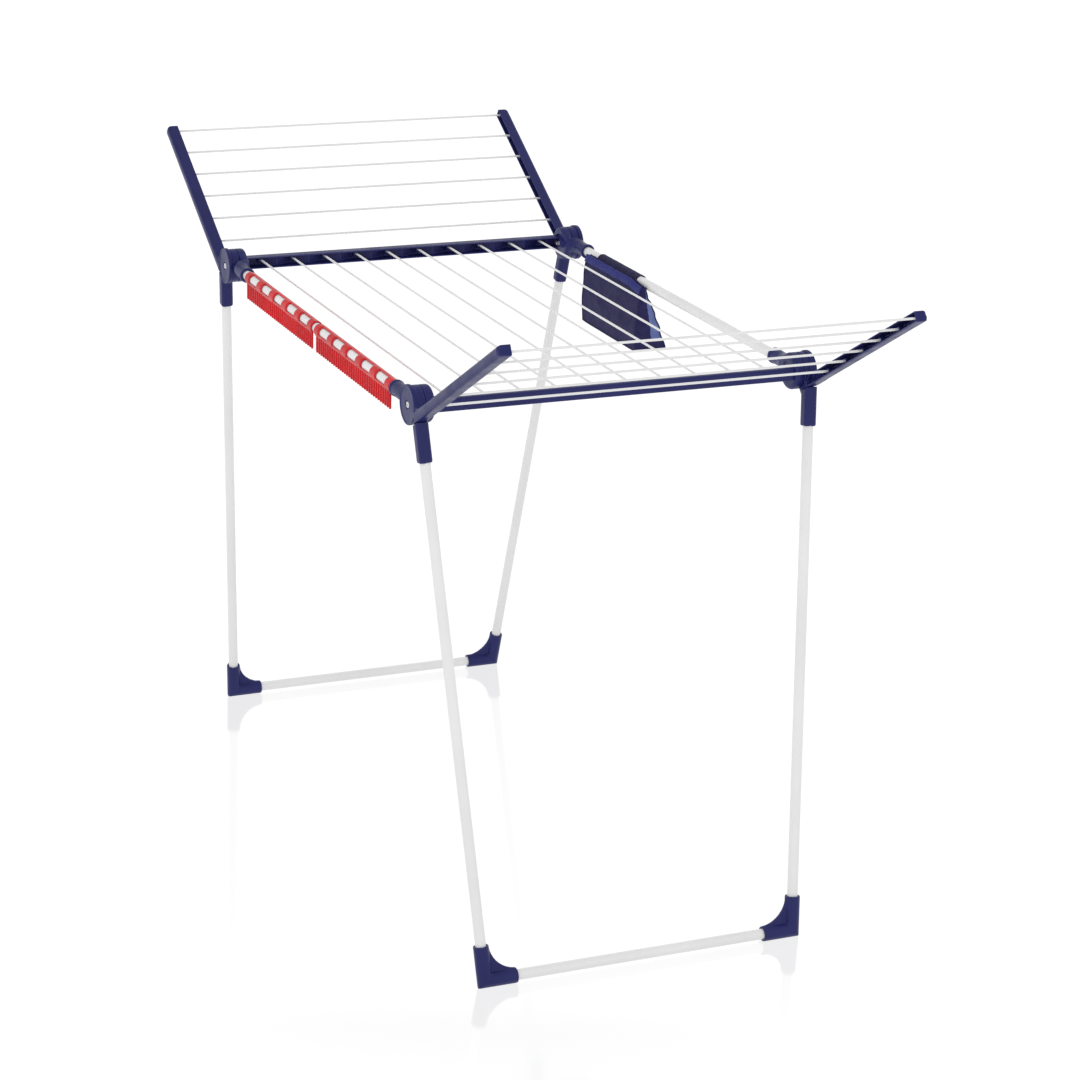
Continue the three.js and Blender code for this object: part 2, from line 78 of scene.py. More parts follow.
WING_TURN = radians(30)
FRAME_HUB_X = (320, 336.4)
LEG_HUB_X = (336.7, 351)
DISC_X = (351.3, 359)
HUB_RADIUS = 31
DISC_RADIUS = 33
HUB_RECESS = (8, 17.5, 2)  # inner radius, outer radius, depth
BOLT_HOLE = 2.9
NUT_X = (315.2, 319.7)
NUT_RADIUS = 4.3
NUT_BORE = 2.6
TUBE_BORE = 9.4
SOCKET_Y = (-38, -92)
SOCKET_RADIUS = 12.9
SOCKET_RIM = (14.2, 6)  # radius, width
TONGUE = {"length": 20, "y": (18.8, 22.3), "z": (-7.8, 8.8)}
ARM_X = (337.5, 359.5)
ARM_S = (22, 417)
ARM_D = (-34.95, -17.45)
ARM_WALL = 2.2
ARM_CORNER = 6
ARM_NOTCH = (28, 30, 18)  # place along the arm, reach along it, reach across it
ARM_TIP_ROUNDING = 7
ARM_HUB_CLEARANCE = 1.3
WIRE_D = -28
WIRE_PITCH = 63
WING_WIRES = [97 + WIRE_PITCH * i for i in range(6)]
RAIL_Y = (1, 25)
RAIL_Z = (-10.5, 11.5)
RAIL_WALL = 2.4
RAIL_CORNER = 3
RIB = {"set_back": 9, "width": 1.5}
RAIL_BOSS = {"depth": 11, "radius": 5}
ARM_BOSS = {"depth": 18, "radius": 4.6}
WIRE_BORE = 2.4
RAIL_HALF = 319.7
CENTRE_WIRES = [WIRE_PITCH * (i - 4.5) for i in range(10)]
CENTRE_WIRE_RISE = 4
LEG_TOP = Vector((348, 26, 0))
LEG_FOOT = Vector((282, CROSS_TUBE.y - HUB_Y, CROSS_TUBE.z - HUB_Z))
SLEEVE = {"width": 22.5, "corner": 6, "end": 87}
LEG_BORE_START = 46
FOOT_LENGTH = {"up": 59, "in": 56}
FOOT_RADIUS = 13
FOOT_SEAT = 16
WEB_REACH = 56
WEB_THICKNESS = 5
leg_down = (LEG_FOOT - LEG_TOP).normalized()

# ---------------------------------------------------------------- camera

CAMERA_PLACE = Vector((-1.9971, -4.8172, 2.2877))
CAMERA_TURN = radians(23.414)
CAMERA_TILT = radians(18.669)
CAMERA_ROLL = radians(1.711)
CAMERA_LENS = 101.17


def add_camera():
    forward = Vector((
        sin(CAMERA_TURN) * cos(CAMERA_TILT),
        cos(CAMERA_TURN) * cos(CAMERA_TILT),
        -sin(CAMERA_TILT),
    ))
    level_right = forward.cross(Z).normalized()
    level_up = level_right.cross(forward)
    right = level_right * cos(CAMERA_ROLL) + level_up * sin(CAMERA_ROLL)
    up = level_up * cos(CAMERA_ROLL) - level_right * sin(CAMERA_ROLL)
    data = bpy.data.cameras.new("camera")
    data.lens = CAMERA_LENS
    data.sensor_width = 36
    data.clip_end = 60
    camera = bpy.data.objects.new("camera", data)
    turn = Matrix((right, up, -forward)).transposed().to_4x4()
    camera.matrix_world = Matrix.Translation(CAMERA_PLACE) @ turn
    bpy.context.scene.collection.objects.link(camera)
    bpy.context.scene.camera = camera


add_camera()

# ---------------------------------------------------------------- mesh tools
# A shape is (points, faces). Closed shapes are joined and carved as solids.


def circle(centre, across, third, radius, sides):
    turns = [2 * pi * i / sides for i in range(sides)]
    return [centre + (across * cos(t) + third * sin(t)) * radius for t in turns]


def loft(rings, closed_ends=True):
    count = len(rings[0])
    points = [p for ring in rings for p in ring]
    faces = []
    for r in range(len(rings) - 1):
        for i in range(count):
            a, b = r * count + i, r * count + (i + 1) % count
            faces.append((a, b, b + count, a + count))
    if closed_ends:
        faces.append(tuple(range(count))[::-1])
        faces.append(tuple(range(len(points) - count, len(points))))
    return points, faces


def bar(start, end, radius, sides=64, edge=0.0):
    """A round bar; edge is the size of the chamfer at its ends."""
    along = (end - start).normalized()
    across = (X if abs(along.x) < 0.9 else Y).cross(along).normalized()
    third = along.cross(across)
    length = (end - start).length
    steps = [(0, radius), (length, radius)]
    if edge:
        steps = [(0, radius - edge), (edge, radius), (length - edge, radius), (length, radius - edge)]
    return loft([circle(start + along * at, across, third, r, sides) for at, r in steps])


def lathe_x(profile, sides=96):
    """A closed outline of (x, radius) points turned about the hub axis."""
    rings = [circle(X * x, Y, Z, r, sides) for x, r in profile]
    points, faces = loft(rings + rings[:1], closed_ends=False)
    last = len(points) - sides
    faces = [tuple(i % last for i in face) for face in faces]
    return points[:last], faces


def prism(outline, along, start, end):
    """An outline of points in the plane through the origin, pulled along a direction."""
    return loft([[p + along * start for p in outline], [p + along * end for p in outline]])


def outline_yz(points):
    return [Vector((0, y, z)) for y, z in points]


def outline_xy(points):
    return [Vector((x, y, 0)) for x, y in points]


def outline_xz(points):
    return [Vector((x, 0, z)) for x, z in points]


def block(x, y, z):
    return prism(outline_xy([(x[0], y[0]), (x[1], y[0]), (x[1], y[1]), (x[0], y[1])]), Z, *z)


def merged(shapes):
    points, faces = [], []
    for more_points, more_faces in shapes:
        base = len(points)
        points += more_points
        faces += [tuple(base + i for i in face) for face in more_faces]
    return points, faces


def arc(radius, first, last, steps, centre=(0, 0)):
    turns = [radians(first + (last - first) * i / steps) for i in range(steps + 1)]
    return [(centre[0] + radius * cos(t), centre[1] + radius * sin(t)) for t in turns]


def new_object(name, shape):
    points, faces = shape
    mesh = bpy.data.meshes.new(name)
    mesh.from_pydata([p * MM for p in points], [], faces)
    work = bmesh.new()
    work.from_mesh(mesh)
    bmesh.ops.recalc_face_normals(work, faces=work.faces)
    work.to_mesh(mesh)
    work.free()
    made = bpy.data.objects.new(name, mesh)
    bpy.context.scene.collection.objects.link(made)
    return made


def apply_modifiers(piece):
    bpy.context.view_layer.update()
    result = piece.evaluated_get(bpy.context.evaluated_depsgraph_get())
    mesh = bpy.data.meshes.new_from_object(result)
    piece.modifiers.clear()
    piece.data = mesh


def carved(name, solids, cuts):
    """The solids joined, with the cuts taken out."""
    piece = new_object(name, solids[0])
    tools = []
    for operation, shapes in (("UNION", solids[1:]), ("DIFFERENCE", cuts)):
        for shape in shapes:
            tool = new_object("tool", shape)
            tools.append(tool)
            modifier = piece.modifiers.new("carve", "BOOLEAN")
            modifier.operation = operation
            modifier.solver = "MANIFOLD"
            modifier.object = tool
    apply_modifiers(piece)
    for tool in tools:
        bpy.data.objects.remove(tool)
    return piece


def moulded(name, solids, cuts, grain, rounding):
    """A carved piece with all its edges rounded, as an injection moulding has them."""
    piece = carved(name, solids, cuts)
    remesh = piece.modifiers.new("remesh", "REMESH")
    remesh.mode = "VOXEL"
    remesh.voxel_size = grain * MM
    remesh.use_smooth_shade = True
    smooth = piece.modifiers.new("smooth", "SMOOTH")
    smooth.iterations = rounding
    smooth.factor = 0.5
    apply_modifiers(piece)
    piece.data.shade_smooth()
    return piece


def shape_of(piece):
    """Takes a piece apart again into a shape, to go on building with it."""
    points = [v.co / MM for v in piece.data.vertices]
    faces = [tuple(face.vertices) for face in piece.data.polygons]
    bpy.data.objects.remove(piece)
    return points, faces


def sharp_edges_kept(piece, angle=40):
    piece.data.shade_smooth()
    piece.data.set_sharp_from_angle(angle=radians(angle))
    return piece


# ---------------------------------------------------------------- materials


class Look:
    """A material in the making. Its textures follow the object's own coordinates."""

    def __init__(self, name, colour, roughness, **sockets):
        self.material = bpy.data.materials.new(name)
        self.material.use_nodes = True
        self.tree = self.material.node_tree
        self.shader = self.tree.nodes["Principled BSDF"]
        self.place = self.node("ShaderNodeTexCoord").outputs["Object"]
        self.shader.inputs["Base Color"].default_value = (*colour, 1)
        self.shader.inputs["Roughness"].default_value = roughness
        for socket, value in sockets.items():
            self.shader.inputs[socket.replace("_", " ")].default_value = value

    def node(self, kind, **settings):
        made = self.tree.nodes.new(kind)
        for setting, value in settings.items():
            setattr(made, setting, value)
        return made

    def noise(self, scale, detail=3.0, distortion=0.0):
        made = self.node("ShaderNodeTexNoise")
        made.inputs["Scale"].default_value = scale
        made.inputs["Detail"].default_value = detail
        made.inputs["Distortion"].default_value = distortion
        self.tree.links.new(self.place, made.inputs["Vector"])
        return made.outputs["Fac"]

    def wave(self, scale, direction, distortion=0.0):
        made = self.node("ShaderNodeTexWave", bands_direction=direction)
        made.inputs["Scale"].default_value = scale
        made.inputs["Distortion"].default_value = distortion
        self.tree.links.new(self.place, made.inputs["Vector"])
        return made.outputs["Fac"]

    def ranged(self, source, low, high, to_low=0.0, to_high=1.0):
        made = self.node("ShaderNodeMapRange")
        sockets = ("From Min", "From Max", "To Min", "To Max")
        for socket, value in zip(sockets, (low, high, to_low, to_high)):
            made.inputs[socket].default_value = value
        self.tree.links.new(source, made.inputs["Value"])
        return made.outputs["Result"]

    def math(self, operation, first, second):
        made = self.node("ShaderNodeMath", operation=operation)
        for source, socket in zip((first, second), made.inputs):
            if isinstance(source, float):
                socket.default_value = source
            else:
                self.tree.links.new(source, socket)
        return made.outputs["Value"]

    def blend(self, share, first, second):
        made = self.node("ShaderNodeMix", data_type="RGBA")
        self.tree.links.new(share, made.inputs["Factor"])
        for source, socket in ((first, made.inputs["A"]), (second, made.inputs["B"])):
            socket = [s for s in made.inputs if s.name == socket.name and s.type == "RGBA"][0]
            if isinstance(source, tuple):
                socket.default_value = (*source, 1)
            else:
                self.tree.links.new(source, socket)
        return [s for s in made.outputs if s.type == "RGBA"][0]

    def convex_edge_share(self, start=0.52, end=0.62):
        """How much a point is on a convex edge."""
        point = self.node("ShaderNodeNewGeometry").outputs["Pointiness"]
        return self.ranged(point, start, end)

    def colour(self, source):
        self.tree.links.new(source, self.shader.inputs["Base Color"])

    def roughness(self, source, low, high):
        self.tree.links.new(self.ranged(source, 0.3, 0.7, low, high), self.shader.inputs["Roughness"])

    def bump(self, height, distance_mm, strength=1.0):
        made = self.node("ShaderNodeBump")
        made.inputs["Strength"].default_value = strength
        made.inputs["Distance"].default_value = distance_mm * MM
        self.tree.links.new(height, made.inputs["Height"])
        self.tree.links.new(made.outputs["Normal"], self.shader.inputs["Normal"])


def moulded_plastic(name, base, deep, edge_highlight_colour, roughness):
    """Semi-gloss moulded plastic: slight flow marks, fine spark-eroded grain, and a painted highlight
    along convex edges.
    """
    look = Look(name, base, roughness[0], Specular_IOR_Level=0.2)
    flow = look.noise(9, 4, 0.6)
    body = look.blend(look.ranged(flow, 0.35, 0.65), base, deep)
    # painted highlight: convex edges are blended toward a lighter colour, standing in for the light rims
    # the plastic catches
    look.colour(look.blend(look.math("MULTIPLY", look.convex_edge_share(), 0.55), body, edge_highlight_colour))
    look.roughness(look.noise(38, 5), *roughness)
    grain = look.math("ADD", look.noise(2600, 2), look.math("MULTIPLY", look.noise(300, 3), 0.6))
    look.bump(grain, 0.04, 0.35)
    return look.material


def coated_steel():
    """White powder coat over steel: orange peel, a few faint scuffs."""
    look = Look("white_coat", (0.71, 0.71, 0.71), 0.34)
    scuffs = look.ranged(look.noise(70, 6, 1.4), 0.66, 0.78, 0.0, 0.35)
    body = look.blend(look.ranged(look.noise(7, 3), 0.3, 0.7), (0.73, 0.73, 0.73), (0.69, 0.69, 0.69))
    look.colour(look.blend(scuffs, body, (0.6, 0.6, 0.6)))
    look.roughness(look.noise(30, 4), 0.26, 0.42)
    look.bump(look.noise(420, 2), 0.06, 0.3)
    return look.material


def zinc():
    """Zinc plated steel for bolts and nuts: brushed, a little dull."""
    look = Look("zinc", (0.62, 0.63, 0.65), 0.3, Metallic=1.0)
    look.colour(look.blend(look.noise(260, 4), (0.7, 0.71, 0.73), (0.5, 0.5, 0.52)))
    look.roughness(look.noise(500, 3), 0.2, 0.45)
    look.bump(look.wave(900, "Y", 2.0), 0.02, 0.3)
    return look.material


def woven_fabric(name, base, thread, roughness=(0.72, 0.9), sheen=0.04):
    """Plain weave: warp and weft threads, uneven dye and a soft sheen."""
    look = Look(name, base, roughness[0], Sheen_Weight=sheen, Sheen_Roughness=0.4, Specular_IOR_Level=0.2)
    warp = look.wave(190, "Y", 0.4)
    weft = look.wave(190, "DIAGONAL", 0.4)
    threads = look.math("MULTIPLY", warp, weft)
    uneven = look.math("MULTIPLY", look.noise(45, 6, 0.8), look.ranged(threads, 0, 1, 0.55, 1.0))
    look.colour(look.blend(uneven, base, thread))
    look.roughness(look.noise(60, 4), *roughness)
    look.bump(look.math("ADD", threads, look.math("MULTIPLY", look.noise(120, 4), 1.2)), 0.25, 0.6)
    return look.material


# The third colour given to each plastic is its painted edge highlight.
NAVY = moulded_plastic(
    "navy_plastic", (0.011, 0.013, 0.088), (0.015, 0.017, 0.105), (0.10, 0.10, 0.27), (0.30, 0.44))
RED = moulded_plastic(
    "red_plastic", (0.57, 0.003, 0.007), (0.47, 0.002, 0.006), (0.78, 0.06, 0.05), (0.26, 0.38))
WHITE = coated_steel()
STEEL = zinc()
BAG_CLOTH = woven_fabric("bag_cloth", (0.008, 0.007, 0.050), (0.024, 0.022, 0.100))
BAG_HEM = woven_fabric("bag_hem", (0.009, 0.012, 0.125), (0.026, 0.032, 0.22), (0.6, 0.8))
# painted light: a lighter, glossier copy of the navy bag cloth, standing in for light falling on the
# front gusset
BAG_PAINTED_LIGHT = woven_fabric("bag_painted_light", (0.055, 0.080, 0.24), (0.17, 0.22, 0.44), (0.5, 0.7), 0.1)
BAG_SLEEVE = woven_fabric("bag_sleeve", (0.009, 0.008, 0.044), (0.026, 0.023, 0.085))

# ---------------------------------------------------------------- placing

CORNERS = [
    (end + "_" + side, across, along, end)
    for end, along in (("front", -1), ("rear", 1))
    for side, across in (("left", -1), ("right", 1))
]


def finish_piece(piece, material, slot, body, *nodes):
    piece.data.materials.clear()
    piece.data.materials.append(material)
    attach(piece, body)
    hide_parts(*nodes)
    return piece


def placed_copy(shape, name, across, along, place):
    """A copy of a made piece, mirrored across the rack and along it, then moved to its place."""
    mesh = shape.data.copy()
    mesh.transform(Matrix.Diagonal((across, along, 1, 1)) @ Matrix.Translation(place * MM))
    if across * along < 0:
        mesh.flip_normals()
    piece = bpy.data.objects.new(name, mesh)
    bpy.context.scene.collection.objects.link(piece)
    return piece


def at_corners(shape, kind, body, material=NAVY, slot="navy_plastic"):
    """Puts mirrored copies of a corner piece, made about the hub axis, at all four corners."""
    for corner, across, along, end in CORNERS:
        node = f"{corner}_{kind}"
        piece = placed_copy(shape, node + "_look", across, along, Vector((0, HUB_Y, HUB_Z)))
        finish_piece(piece, material, slot, body.format(end=end), node)
    bpy.data.objects.remove(shape)


# ---------------------------------------------------------------- tubes and wires


def add_bar(node, start, end, radius, sides, body):
    piece = sharp_edges_kept(new_object(node + "_look", bar(start, end, radius, sides, 0.4)))
    return finish_piece(piece, WHITE, "white_coat", body, node)


def add_straight_bar(node, body, sides=48):
    """A tube or wire along X or Y that takes its place and size from its CAD box."""
    low, high = box_mm(node)
    middle, size = (low + high) / 2, high - low
    axis = X if size.x > size.y else Y
    half = axis * max(size.x, size.y) / 2
    add_bar(node, middle - half, middle + half, size.z / 2, sides, body)


def add_tubes_and_wires():
    for side in ("left", "right"):
        add_straight_bar(f"{side}_side_tube", "frame")
    for i in range(len(CENTRE_WIRES)):
        add_straight_bar(f"centre_wire_{i + 1:02}", "frame", 20)
    for end in ("front", "rear"):
        add_straight_bar(f"{end}_cross_tube", f"{end}_legs")
        for i in range(len(WING_WIRES)):
            add_straight_bar(f"{end}_wing_wire_{i + 1}", f"{end}_wing", 20)
    leg_start = LEG_TOP + leg_down * (LEG_BORE_START + 0.3)
    leg_end = LEG_FOOT - leg_down * FOOT_SEAT
    leg = sharp_edges_kept(new_object("leg", bar(leg_start, leg_end, TUBE_RADIUS, 48, 0.4)))
    at_corners(leg, "leg_tube", "{end}_legs", WHITE, "white_coat")


# ---------------------------------------------------------------- frame mouldings


def taper_ring(y, middle, half, squareness):
    """A closed ring at a place along Y: a circle when its squareness is 2, boxier above that."""
    ring = []
    for i in range(64):
        turn = 2 * pi * i / 64
        across, up = (copysign(abs(part) ** (2 / squareness), part) for part in (cos(turn), sin(turn)))
        ring.append(Vector((middle[0] + half[0] * across, y, middle[1] + half[1] * up)))
    return ring


def corner_block():
    """A round hub that tapers into the socket of the side tube, with a tongue in the rail."""
    x0, x1 = FRAME_HUB_X
    inner, outer, depth = HUB_RECESS
    y0, y1 = SOCKET_Y
    rim_radius, rim_width = SOCKET_RIM
    axis = Vector((SIDE_TUBE.x, 0, TUBE_RISE))
    middle, half = (x0 + x1) / 2, (x1 - x0) / 2
    # The taper gets lower before it reaches out over the leg socket, so the folded leg clears it.
    taper = loft([
        taper_ring(0, (middle, 0), (half, HUB_RADIUS - 0.5), 6),
        taper_ring(-18, (middle, 0), (half, 25.5), 5),
        taper_ring(-27, (middle, 0), (half, 21), 4),
        taper_ring(-34, (middle, 3.5), (half, 14), 2.6),
        taper_ring(y0, (middle + 8, 4), (half + 5.6, 14.5), 2.6),
        taper_ring(-45, (middle + 12, 3), (half + 5.8, 13.5), 2.2),
        taper_ring(-60, (SIDE_TUBE.x, TUBE_RISE), (SOCKET_RADIUS, SOCKET_RADIUS), 2),
        taper_ring(y1, (SIDE_TUBE.x, TUBE_RISE), (SOCKET_RADIUS, SOCKET_RADIUS), 2),
    ])
    drum = lathe_x([
        (x0, 2), (x0, HUB_RADIUS - 5), (x0 + 1, HUB_RADIUS - 2.4), (x0 + 2.6, HUB_RADIUS - 0.8),
        (x0 + 5, HUB_RADIUS), (x1, HUB_RADIUS), (x1, 2),
    ])
    solids = [
        drum,
        taper,
        bar(axis + Y * (y1 + rim_width), axis + Y * y1, rim_radius),
        block((x0 - TONGUE["length"], x0 + depth + 2), TONGUE["y"], TONGUE["z"]),
    ]
    cuts = [
        lathe_x([(x0 - 2, inner), (x0 - 2, outer), (x0 + depth, outer), (x0 + depth, inner)]),
        bar(axis + Y * (y0 - 4), axis + Y * (y1 - 2), TUBE_BORE),
        bar(X * (x0 - 2), X * (x1 + 2), BOLT_HOLE, 24),
    ]
    return moulded("corner_block", solids, cuts, 1.1, 5)


def rail():
    """A channel that opens inward, with wire bosses and zig-zag ribs between them."""
    y0, y1 = RAIL_Y
    z0, z1 = RAIL_Z
    web = y1 - RAIL_WALL
    corner = RAIL_CORNER
    section = [(y0, z1), (y0, z0)]
    section += arc(corner, -90, 0, 4, (y1 - corner, z0 + corner))
    section += arc(corner, 0, 90, 4, (y1 - corner, z1 - corner))
    solids = [prism(outline_yz(section), X, -RAIL_HALF, RAIL_HALF)]
    hollow = block((-RAIL_HALF - 2, RAIL_HALF + 2), (y0 - 2, web), (z0 + RAIL_WALL, z1 - RAIL_WALL))
    rib_height = (z0 + 1, z1 - 1)
    rib_front = y0 + RIB["set_back"]
    fill, bores = [], []
    for i, x in enumerate(CENTRE_WIRES):
        place = Vector((x, 0, CENTRE_WIRE_RISE))
        boss_start = place + Y * (web - RAIL_BOSS["depth"])
        fill.append(bar(boss_start, place + Y * (web + 1), RAIL_BOSS["radius"], 32))
        bores.append(bar(place + Y * (y0 - 2), place + Y * (web - 2), WIRE_BORE, 24))
        if i + 1 < len(CENTRE_WIRES):
            middle, after = x + WIRE_PITCH / 2, x + WIRE_PITCH
            for a, b in ((x, middle), (after, middle)):
                width = copysign(RIB["width"], b - a)
                rib = [(a, web + 1), (b, rib_front), (b + width, rib_front), (a + width, web + 1)]
                fill.append(prism(outline_xy(rib), Z, *rib_height))
    channel = shape_of(carved("channel", solids, [hollow]))
    return moulded("rail", [channel, *fill], bores, 1.2, 4)


def add_rails():
    shape = rail()
    for end, along in (("front", -1), ("rear", 1)):
        piece = placed_copy(shape, f"{end}_rail_look", 1, along, Vector((0, HUB_Y, HUB_Z)))
        finish_piece(piece, NAVY, "navy_plastic", "frame", f"{end}_rail")
    bpy.data.objects.remove(shape)


def hub_bolt():
    """Pan head with a screwdriver slot, and a shank."""
    head = lathe_x([(313.5, 0.2), (313.5, 2.1), (314, 2.5), (355.5, 2.5), (355.5, 5.5), (356.6, 5.5),
                    (357.5, 4.9), (358.2, 3.2), (358.2, 0.2)], 48)
    slot = block((357, 360), (-9, 9), (-0.7, 0.7))
    return sharp_edges_kept(carved("hub_bolt", [head], [slot]), 30)


def hub_nut():
    """A hexagon nut with a thin washer under it."""
    x0, x1 = NUT_X
    hexagon = circle(Vector(), Y, Z, NUT_RADIUS, 6)
    bore = bar(X * (x0 - 1.2), X * (x1 + 1.3), NUT_BORE, 32)
    nut = shape_of(carved("nut", [prism(hexagon, X, x0, x1)], [bore]))
    washer = lathe_x([(x1 - 0.7, NUT_BORE), (x1 - 0.7, 5.2), (x1, 5.2), (x1, NUT_BORE)], 48)
    return sharp_edges_kept(new_object("hub_nut", merged([nut, washer])), 30)


# ---------------------------------------------------------------- wing arm

wing_tilt = Matrix.Rotation(WING_TURN, 4, "X")


def wing_arm():
    """Disc at the hub and a channel that opens inward, made level and turned to the open angle."""
    x0, x1 = ARM_X
    s0, s1 = ARM_S
    d0, d1 = ARM_D
    disc_in, disc_out = DISC_X
    section = [(x0, d1), (x0, d0)]
    section += arc(ARM_CORNER, -90, 0, 5, (x1 - ARM_CORNER, d0 + ARM_CORNER))
    section += arc(ARM_CORNER, 0, 90, 5, (x1 - ARM_CORNER, d1 - ARM_CORNER))
    beam = prism(outline_xz(section), Y, s0, s1)
    inner = ARM_CORNER - ARM_WALL
    hollow_section = [(x0 - 3, d1 - ARM_WALL), (x0 - 3, d0 + ARM_WALL)]
    hollow_section += arc(inner, -90, 0, 4, (x1 - ARM_CORNER, d0 + ARM_CORNER))
    hollow_section += arc(inner, 0, 90, 4, (x1 - ARM_CORNER, d1 - ARM_CORNER))
    hollow = prism(outline_xz(hollow_section), Y, s0 + ARM_WALL, s1 - ARM_WALL)
    tip = ARM_TIP_ROUNDING
    tip_waste = [(x1 + 3, s1 - tip), *arc(tip, 0, 90, 6, (x1 - tip, s1 - tip))]
    tip_waste += [(x1 - tip, s1 + 3), (x1 + 3, s1 + 3)]
    notch_s, notch_along, notch_across = ARM_NOTCH
    notch = circle(Vector((x0, notch_s, 0)), X * notch_across, Y * notch_along, 1, 48)
    waste = [
        hollow,
        prism(outline_xy(tip_waste), Z, d0 - 2, d1 + 2),
        prism(notch, Z, d1 - 8, d1 + 3),
        bar(X * (x0 - 3), X * disc_in, HUB_RADIUS + ARM_HUB_CLEARANCE, 96),
    ]
    channel = shape_of(carved("channel", [beam], waste))
    disc = lathe_x([
        (disc_in, BOLT_HOLE), (disc_in, DISC_RADIUS), (disc_out - 0.6, DISC_RADIUS), (disc_out, 32.2),
        (disc_out, 31), (disc_out - 1.4, 29.6), (disc_out - 1.4, 7.2), (disc_out - 3.8, 7.2),
        (disc_out - 3.8, BOLT_HOLE),
    ])
    shoulder = prism(outline_yz([
        (-4, -32), (30, d0), (62, d0), (62, d1), (46, d1), (34, d1 + 3), (27, 5), (22, 22),
    ]), X, disc_in, x1 - ARM_WALL)
    solids = [channel, disc, shoulder, hub_collar()]
    bores = []
    for s in WING_WIRES:
        place = Vector((0, s, WIRE_D))
        boss_start = place + X * (x1 - ARM_BOSS["depth"])
        solids.append(bar(boss_start, place + X * (x1 - 1), ARM_BOSS["radius"], 32))
        bores.append(bar(place + X * (x0 - 2), place + X * (x1 - 4), WIRE_BORE, 24))
    piece = moulded("wing_arm", solids, bores, 1.1, 4)
    piece.data.transform(wing_tilt)
    return piece


def hub_collar():
    """The wall that wraps the drum from the arm's root up to the top of the disc, thinning out there."""
    rings = []
    for i in range(25):
        share = i / 24
        turn = radians(-58 + 112 * share)
        reach = 1 + 13 * (1 - share) ** 1.6
        out = Vector((0, cos(turn), sin(turn)))
        inner, outer = HUB_RADIUS + 0.9, DISC_RADIUS
        x_in, x_out = DISC_X[0] - reach, DISC_X[0] + 1
        section = ((inner, x_in), (outer, x_in), (outer, x_out), (inner, x_out))
        rings.append([out * radius + X * x for radius, x in section])
    return loft(rings)


# ---------------------------------------------------------------- legs


def leg_socket():
    x0, x1 = LEG_HUB_X

    def wing(s, d):
        """A point along and square to the open wing, as (y, z)."""
        return s * cos(WING_TURN) - d * sin(WING_TURN), s * sin(WING_TURN) + d * cos(WING_TURN)

    neck = [(12, -28.4), (24, -42), (42, -30), wing(21, -40), wing(21, -20)]
    half, corner, end = SLEEVE["width"] / 2, SLEEVE["corner"], SLEEVE["end"]
    across = (X - leg_down * leg_down.x).normalized()
    third = leg_down.cross(across)
    square = []
    for quarter in range(4):
        centre = Matrix.Rotation(quarter * pi / 2, 2) @ Vector((half - corner, half - corner))
        square += arc(corner, quarter * 90, quarter * 90 + 90, 5, centre)

    def ring(at, share):
        return [LEG_TOP + leg_down * at + (across * a + third * b) * share for a, b in square]

    sleeve = loft([ring(12, 1), ring(end - 3, 1), ring(end - 0.8, 0.965), ring(end, 0.92)])
    above_arm = outline_yz([wing(-90, -36), wing(90, -36), wing(90, 90), wing(-90, 90)])
    above = prism(above_arm, X, x0 - 12, x1 + 15)
    lower = shape_of(carved("sleeve", [sleeve], [above]))
    solids = [bar(X * x0, X * x1, HUB_RADIUS, 96), prism(outline_yz(neck), X, x0, x1), lower]
    cuts = [
        bar(LEG_TOP + leg_down * LEG_BORE_START, LEG_TOP + leg_down * (end + 3), TUBE_BORE),
        bar(X * (x0 - 2), X * (x1 + 2), BOLT_HOLE, 24),
    ]
    return moulded("leg_socket", solids, cuts, 1.1, 5)


def foot():
    """A mitred elbow about the point where the leg and cross tube axes meet, with a thin web."""
    up, inward = -leg_down, -X
    normal = inward.cross(up).normalized()
    mitre = up - inward

    def elbow(radius, up_end, in_end):
        rings = []
        sides = 48
        turns = [2 * pi * i / sides for i in range(sides)]
        out = normal.cross(up)
        offsets = [(out * cos(t) + normal * sin(t)) * radius for t in turns]
        rings.append([p + up * up_end for p in offsets])
        bend = [p - up * (p.dot(mitre) / up.dot(mitre)) for p in offsets]
        rings.append(bend)
        rings.append([p + inward * (in_end - p.dot(inward)) for p in bend])
        return loft(rings)

    web = [inward * a + up * b for a, b in [
        (0, 0), (WEB_REACH, 0),
        *arc(WEB_REACH - FOOT_RADIUS + 4, 266, 184, 14, (WEB_REACH + 4, WEB_REACH + 4)), (0, WEB_REACH)]]
    solids = [
        elbow(FOOT_RADIUS, FOOT_LENGTH["up"], FOOT_LENGTH["in"]),
        prism(web, normal, -WEB_THICKNESS / 2, WEB_THICKNESS / 2),
    ]
    floor = -LEG_FOOT.z - HUB_Z
    reach = 120
    cuts = [
        bar(up * FOOT_SEAT, up * (FOOT_LENGTH["up"] + 3), TUBE_BORE),
        bar(inward * FOOT_SEAT, inward * (FOOT_LENGTH["in"] + 3), TUBE_BORE),
        block((-reach, reach), (-reach, reach), (-reach, floor)),
    ]
    piece = moulded("foot", solids, cuts, 1.0, 5)
    piece.data.transform(Matrix.Translation(LEG_FOOT * MM))
    return piece


# ---------------------------------------------------------------- holders for small items

HOLDER = {
    "length": 374,
    "arc": (-40, 236),
    "radii": (9.5, 11.5),
    "windows": 5,
    "window": 42,
    "window_arc": (102, 196),
    "band_arc": (92, 206),
}
COMB = {"x": (-9, -6), "z": (-37, -8), "teeth": 34}


def ring_sector(inner, outer, first, last, steps):
    return outline_xz(arc(outer, first, last, steps) + arc(inner, last, first, steps))


